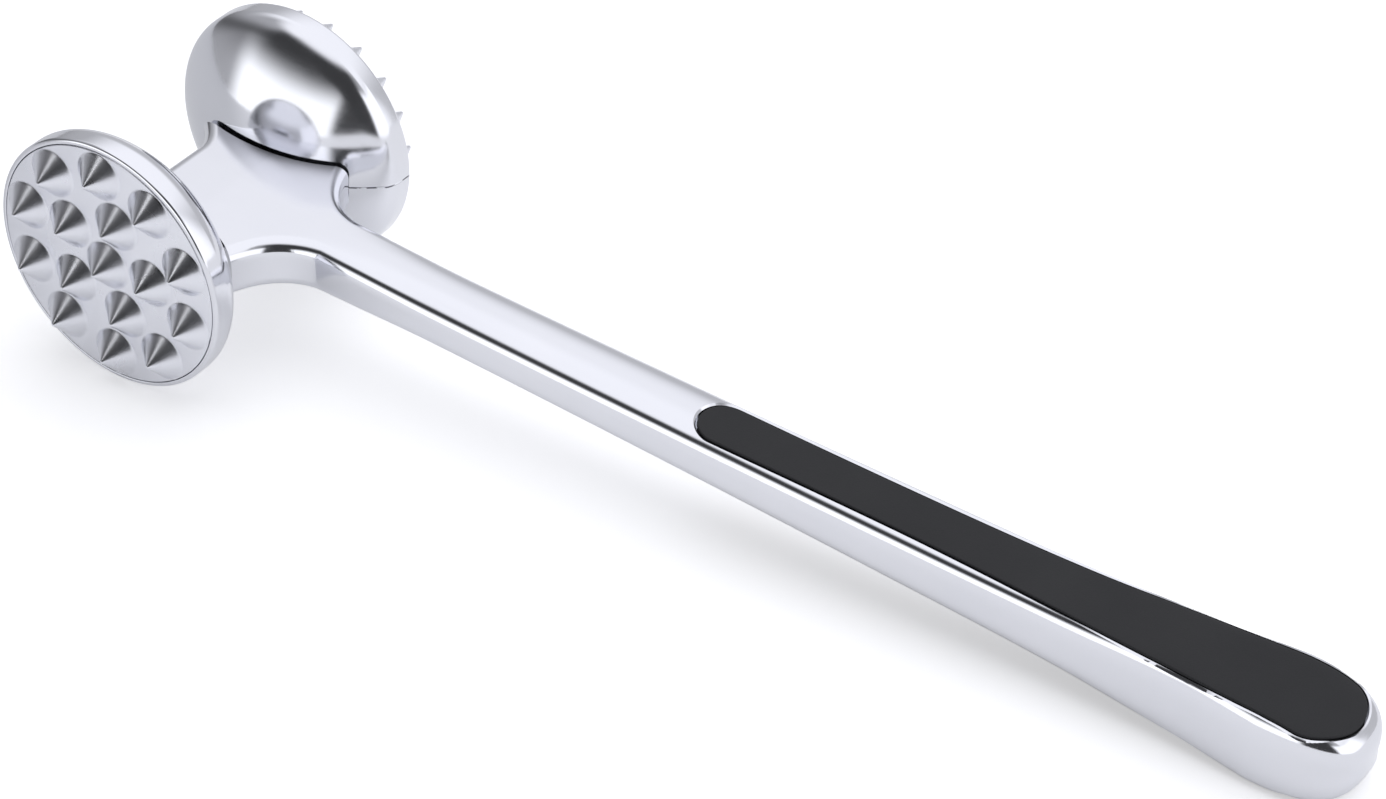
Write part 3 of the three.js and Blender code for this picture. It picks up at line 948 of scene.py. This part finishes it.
def satin_plate(name):
    """The flat field between the spikes: fine blasted grain under the plating."""
    material, f, shader, place = principled(name)
    cloud = noise(f, place, scale=90, detail=3.0)
    grain = noise(f, place, scale=2600, detail=3.0, rough=0.7)
    waves = noise(f, place, scale=300, detail=2.0)
    f.feed(shader.inputs["Base Color"], mixed(f, cloud, *SATIN_TONES))
    f.feed(shader.inputs["Roughness"], between(f, cloud, *SATIN_ROUGHNESS))
    shader.inputs["Metallic"].default_value = 1
    bumps(f, shader, [(waves, 30 * MICRON), (grain, 6 * MICRON)])
    return material


def turned_spike_painted_streaks(name):
    """Spikes with painted reflection streaks down their flanks, dark to light in the base
    colour, and fine rings from the turning tool.
    """
    material, f, shader, place = principled(name)
    turning = f.node("ShaderNodeAttribute", attribute_name="turning").outputs["Vector"]
    x, y, reach = f.node("ShaderNodeSeparateXYZ", turning).outputs
    around = f.node("ShaderNodeCombineXYZ", x, y, 0.0).outputs[0]
    # Painted reflection streaks: noise around each spike sets the base colour from dark to
    # light, and also the roughness and bump.
    streak = noise(f, around, scale=7, detail=3.0, rough=0.6)
    ring = f.calc("SINE", f.calc("MULTIPLY", reach, TURNING_RINGS))
    ring = f.calc("MULTIPLY_ADD", ring, 0.5, 0.5)
    waves = noise(f, place, scale=500)
    f.feed(shader.inputs["Base Color"], mixed(f, streak, *PAINTED_SPIKE_REFLECTION_TONES))
    f.feed(shader.inputs["Roughness"], between(f, streak, *SPIKE_ROUGHNESS))
    shader.inputs["Metallic"].default_value = 1
    bumps(f, shader, [(streak, 30 * MICRON), (ring, 4 * MICRON), (waves, 10 * MICRON)])
    return material


def soft_rubber(name):
    """Matt black elastomer with a fine moulded grain."""
    material, f, shader, place = principled(name)
    cloud = noise(f, place, scale=70, detail=4.0)
    grain = noise(f, place, scale=3200, detail=2.0, rough=0.6)
    waves = noise(f, place, scale=260)
    f.feed(shader.inputs["Base Color"], mixed(f, cloud, *RUBBER_TONES))
    f.feed(shader.inputs["Roughness"], between(f, cloud, *RUBBER_ROUGHNESS))
    shader.inputs["Specular IOR Level"].default_value = RUBBER_SPECULAR
    bumps(f, shader, [(waves, 40 * MICRON), (grain, 30 * MICRON)])
    return material


def bright_steel(name):
    """Cut steel of the hidden stud and dowels, with marks along the bar."""
    material, f, shader, place = principled(name)
    marks = stretched(f, place, DRAWN_MARKS)
    drawn = noise(f, marks, scale=1.0, detail=3.0, rough=0.6)
    f.feed(shader.inputs["Base Color"], mixed(f, drawn, *STEEL_TONES))
    f.feed(shader.inputs["Roughness"], between(f, drawn, *STEEL_ROUGHNESS))
    shader.inputs["Metallic"].default_value = 1
    bumps(f, shader, [(drawn, 10 * MICRON)])
    return material


def moulded_plastic(name):
    """Black nylon of the inlay carriers."""
    material, f, shader, place = principled(name)
    cloud = noise(f, place, scale=200, detail=4.0)
    grain = noise(f, place, scale=1500)
    f.feed(shader.inputs["Base Color"], mixed(f, cloud, *NYLON_TONES))
    f.feed(shader.inputs["Roughness"], between(f, cloud, *NYLON_ROUGHNESS))
    bumps(f, shader, [(grain, 20 * MICRON)])
    return material


def compass_of(f, x, y):
    """Degrees from +Y towards +X."""
    return f.calc("DEGREES", f.calc("ARCTAN2", x, y))


def pale_floor(name):
    """White paper sweep that the polished pieces reflect darker, most of all behind them."""
    material, f, shader, place = principled(name)
    cloud = noise(f, place, scale=3, detail=2.0)
    x, y, _ = f.node("ShaderNodeSeparateXYZ", place).outputs
    side = f.calc("SUBTRACT", x, head_centre.x)
    past = f.calc("SUBTRACT", y, head_centre.y)
    behind = f.window(compass_of(f, side, past), *FLOOR_BEHIND)
    shade = f.towards(FLOOR_GLOW_SEEN, FLOOR_GLOW_BEHIND, behind)
    mirrored = f.node("ShaderNodeLightPath").outputs["Is Glossy Ray"]
    glow = f.towards(FLOOR_GLOW, shade, mirrored)
    f.feed(shader.inputs["Base Color"], mixed(f, cloud, *PAPER_TONES))
    shader.inputs["Roughness"].default_value = PAPER_ROUGHNESS
    shader.inputs["Specular IOR Level"].default_value = 0.0
    shader.inputs["Emission Color"].default_value = FLOOR_GLOW_TONE
    f.feed(shader.inputs["Emission Strength"], glow)
    return material


def clad(obj, materials):
    obj.data.materials.clear()
    for material in materials:
        obj.data.materials.append(material)


chrome = polished_chrome("polished_chrome")
seamed = polished_chrome("seamed_chrome", seam=True)
satin = satin_plate("satin_plate")
turned = turned_spike_painted_streaks("turned_spike_painted_streaks")
rubber = soft_rubber("soft_rubber")
steel = bright_steel("bright_steel")
plastic = moulded_plastic("moulded_plastic")

SLOTS = {
    "handle_casting": ("chrome_casting", [chrome]),
    "coarse_head_bell": ("chrome_casting", [chrome]),
    "fine_head_bell": ("chrome_casting", [seamed]),
    "coarse_face_plate": ("spiked_face", [satin, turned]),
    "fine_face_plate": ("spiked_face", [satin, turned]),
    "upper_grip_skin": ("soft_inlay", [rubber]),
    "lower_grip_skin": ("soft_inlay", [rubber]),
}
for node, (slot, materials) in SLOTS.items():
    piece = pieces[node]
    clad(piece, materials)
    piece.matrix_world = PLACE
    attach(piece, "root")
    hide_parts(node)

for node in ("head_tie_stud", "coarse_head_dowel", "fine_head_dowel"):
    clad(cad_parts[node], [steel])
for node in ("upper_grip_carrier", "lower_grip_carrier"):
    clad(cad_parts[node], [plastic])

# ---- camera --------------------------------------------------------------------------

CAMERA_FROM_HEAD = Vector((-478.7, -446.2, 436.5)) * MM
CAMERA_AZIMUTH = -54.70
CAMERA_ELEVATION = 36.77
CAMERA_ROLL = -0.66
SENSOR = 36
LENS = 111.69
SIGHT_LIMIT = 20

lens = bpy.data.cameras.new("camera")
lens.sensor_width = SENSOR
lens.lens = LENS
lens.clip_end = SIGHT_LIMIT
camera = link("camera", lens)
camera_turn = (
    Matrix.Rotation(math.radians(CAMERA_AZIMUTH), 4, "Z")
    @ Matrix.Rotation(math.radians(90 - CAMERA_ELEVATION), 4, "X")
    @ Matrix.Rotation(math.radians(CAMERA_ROLL), 4, "Z")
)
camera.matrix_world = Matrix.Translation(head_centre + CAMERA_FROM_HEAD) @ camera_turn
bpy.context.scene.camera = camera

# ---- floor, world and lights ---------------------------------------------------------

# Strengths of the sky.
SKY_WHITE = 1.15
SKY_SIDE = 0.6
SKY_BEHIND = 0.46
SKY_DARK = 0.05
SKY_BOX = 1.35
SKY_BACKDROP = 0.93  # what the camera itself sees
SKY_TONE = (0.985, 0.99, 1.03)

# Stretches of the sky in degrees: from, to and softness.
BEHIND_STRETCH = (-40, 42, 40)
DARK_STRETCH = (-158, -38, 22)
BAND_STRETCH = (-170, 35, 60)
PALE_STRETCH = (20, 200, 40)
BOX_STRETCH = (140, 205, 8)
BOX_HEIGHTS = (-8, 36, 8)
PALE_HEIGHTS = (20, 47)  # the pale stretch turns white between these heights
WHITE_HEIGHTS = (50, 66)  # and the rest of the sky between these

BAND_SHARE = 0.8
BAND_ELEVATION = 50
BAND_HALF = 13
BAND_FALL_FROM = -60
BAND_FALL = 0.61  # how fast the dark band drops past that compass direction

FLOOR_HALF = 3
FLOOR_DROP = 0.0002
OVERHEAD_SIZE = 1.4
OVERHEAD_ENERGY = 5
OVERHEAD_FROM_HEAD = Vector((0.1, -0.1, 1.5))

CARD_TONE = (0.97, 0.98, 1.0, 1)
# Where each fade at the card's edges starts and ends, on scales from -1 to 1.
CARD_LEFT_FADE = (-1.0, -0.5)
CARD_RIGHT_FADE = (0.82, 1.0)
CARD_FOOT_FADE = (-1.0, -0.8)
CARD_TOP_FADE = (0.1, 1.0)


def dark_band(f, compass, height):
    """1 along the middle of a soft band across the sky."""
    past = f.calc("MAXIMUM", f.calc("ADD", compass, float(-BAND_FALL_FROM)), 0.0)
    centre = f.calc("MULTIPLY_ADD", past, -BAND_FALL, float(BAND_ELEVATION))
    off = f.calc("DIVIDE", f.calc("SUBTRACT", height, centre), float(BAND_HALF))
    band = f.calc("EXPONENT", f.calc("MULTIPLY", f.calc("MULTIPLY", off, off), -1.0))
    return f.calc("MULTIPLY", band, f.window(compass, *BAND_STRETCH))


def studio_world():
    """A sky that is white overhead, dark on the camera's left and bright on its right."""
    world = bpy.data.worlds.new("studio")
    bpy.context.scene.world = world
    world.use_nodes = True
    tree = world.node_tree
    tree.nodes.clear()
    f = Formula(tree)
    direction = f.node("ShaderNodeTexCoord").outputs["Generated"]
    x, y, z = f.node("ShaderNodeSeparateXYZ", direction).outputs
    compass = compass_of(f, x, y)
    height = f.calc("DEGREES", f.calc("ARCSINE", z))
    wrap = f.calc("MULTIPLY", f.calc("LESS_THAN", compass, 0.0), 360.0)
    full_compass = f.calc("ADD", compass, wrap)

    light = f.towards(SKY_SIDE, SKY_BEHIND, f.window(compass, *BEHIND_STRETCH))
    light = f.towards(light, SKY_DARK, f.window(compass, *DARK_STRETCH))
    band = dark_band(f, compass, height)
    pale_side = f.window(compass, *PALE_STRETCH)
    pale = f.calc("MULTIPLY", f.rise(height, *PALE_HEIGHTS), pale_side)
    light = f.towards(light, SKY_WHITE, pale)
    light = f.towards(light, SKY_WHITE, f.rise(height, *WHITE_HEIGHTS))
    light = f.towards(light, SKY_DARK, f.calc("MULTIPLY", band, BAND_SHARE))
    box_side = f.window(full_compass, *BOX_STRETCH)
    box = f.calc("MULTIPLY", box_side, f.window(height, *BOX_HEIGHTS))
    light = f.towards(light, SKY_BOX, box)

    seen = f.node("ShaderNodeLightPath").outputs["Is Camera Ray"]
    light = f.towards(light, SKY_BACKDROP, seen)
    back = f.node("ShaderNodeBackground")
    tone = f.node("ShaderNodeCombineColor")
    for socket, share in zip(tone.inputs, SKY_TONE):
        f.feed(socket, f.calc("MULTIPLY", light, share))
    f.feed(back.inputs["Color"], tone.outputs[0])
    out = f.node("ShaderNodeOutputWorld")
    f.feed(out.inputs["Surface"], back.outputs[0])


def facing_head(compass, height, distance):
    """A placing at a compass direction and height from the head, turned towards it."""
    a, e = math.radians(compass), math.radians(height)
    toward = Vector((math.sin(a) * math.cos(e), math.cos(a) * math.cos(e), math.sin(e)))
    aim = toward.to_track_quat("Z", "Y").to_matrix().to_4x4()
    return Matrix.Translation(head_centre + toward * distance) @ aim


def half_span(angle, distance):
    """Half the size of something that fills an angle at a distance."""
    return distance * math.tan(math.radians(angle / 2))


def sheet(name, half_x, half_y):
    corners = [(-half_x, -half_y, 0), (half_x, -half_y, 0), (half_x, half_y, 0)]
    mesh = bpy.data.meshes.new(name)
    mesh.from_pydata([*corners, (-half_x, half_y, 0)], [], [(0, 1, 2, 3)])
    return link(name, mesh)


def only_for(light, receivers):
    """Lets a light act on some objects only."""
    group = bpy.data.collections.new(light.name)
    for obj in receivers:
        group.objects.link(obj)
    light.light_linking.receiver_collection = group


def card_glow(name, half_x, half_y, strength):
    """An emitter that fades into clear air towards its edges."""
    material = bpy.data.materials.new(name)
    material.use_nodes = True
    tree = material.node_tree
    tree.nodes.clear()
    f = Formula(tree)
    spot = f.node("ShaderNodeTexCoord").outputs["Object"]
    x, y, _ = f.node("ShaderNodeSeparateXYZ", spot).outputs
    u = f.calc("DIVIDE", x, half_x)
    v = f.calc("DIVIDE", y, half_y)
    across = f.calc("SUBTRACT", f.rise(u, *CARD_LEFT_FADE), f.rise(u, *CARD_RIGHT_FADE))
    up = f.calc("SUBTRACT", f.rise(v, *CARD_FOOT_FADE), f.rise(v, *CARD_TOP_FADE))
    inside = f.calc("MULTIPLY", across, up)
    glow = f.node("ShaderNodeEmission", CARD_TONE, strength)
    clear = f.node("ShaderNodeBsdfTransparent")
    mix = f.node("ShaderNodeMixShader", inside, clear.outputs[0], glow.outputs[0])
    f.node("ShaderNodeOutputMaterial", mix.outputs[0])
    return material


def soft_card(name, compass, height, wide, tall, distance, strength, receivers):
    """A glowing card, given by its angles from the head, that some pieces reflect."""
    half_x, half_y = half_span(wide, distance), half_span(tall, distance)
    card = sheet(name, half_x, half_y)
    card.matrix_world = facing_head(compass, height, distance)
    clad(card, [card_glow(name, half_x, half_y, strength)])
    card.visible_camera = False
    card.visible_diffuse = False
    card.visible_shadow = False
    only_for(card, receivers)


def strip_light(name, compass, height, wide, tall, distance, energy, receivers):
    """A narrow upright light that draws one streak down each spike."""
    lamp = bpy.data.lights.new(name, "AREA")
    lamp.shape = "RECTANGLE"
    lamp.size = 2 * half_span(wide, distance)
    lamp.size_y = 2 * half_span(tall, distance)
    lamp.energy = energy
    light = link(name, lamp)
    light.matrix_world = facing_head(compass, height, distance)
    only_for(light, receivers)


def overhead_light():
    lamp = bpy.data.lights.new("overhead", "AREA")
    lamp.size = OVERHEAD_SIZE
    lamp.energy = OVERHEAD_ENERGY
    light = link("overhead", lamp)
    light.location = head_centre + OVERHEAD_FROM_HEAD
    light.visible_glossy = False


def studio_floor():
    floor = sheet("floor", FLOOR_HALF, FLOOR_HALF)
    floor.location.z = cad_low.z - FLOOR_DROP
    clad(floor, [pale_floor("pale_floor")])


bpy.context.scene.view_settings.view_transform = "Standard"
studio_world()
studio_floor()
overhead_light()
plates = [pieces[node] for node in PLATES]
others = [piece for node, piece in pieces.items() if node not in PLATES]
soft_card(
    "left_softbox",
    compass=-72,
    height=16,
    wide=88,
    tall=47,
    distance=0.7,
    strength=1.5,
    receivers=others,
)
strip_light(
    "streak_light",
    compass=-67,
    height=38,
    wide=9,
    tall=44,
    distance=0.6,
    energy=0.2,
    receivers=plates,
)
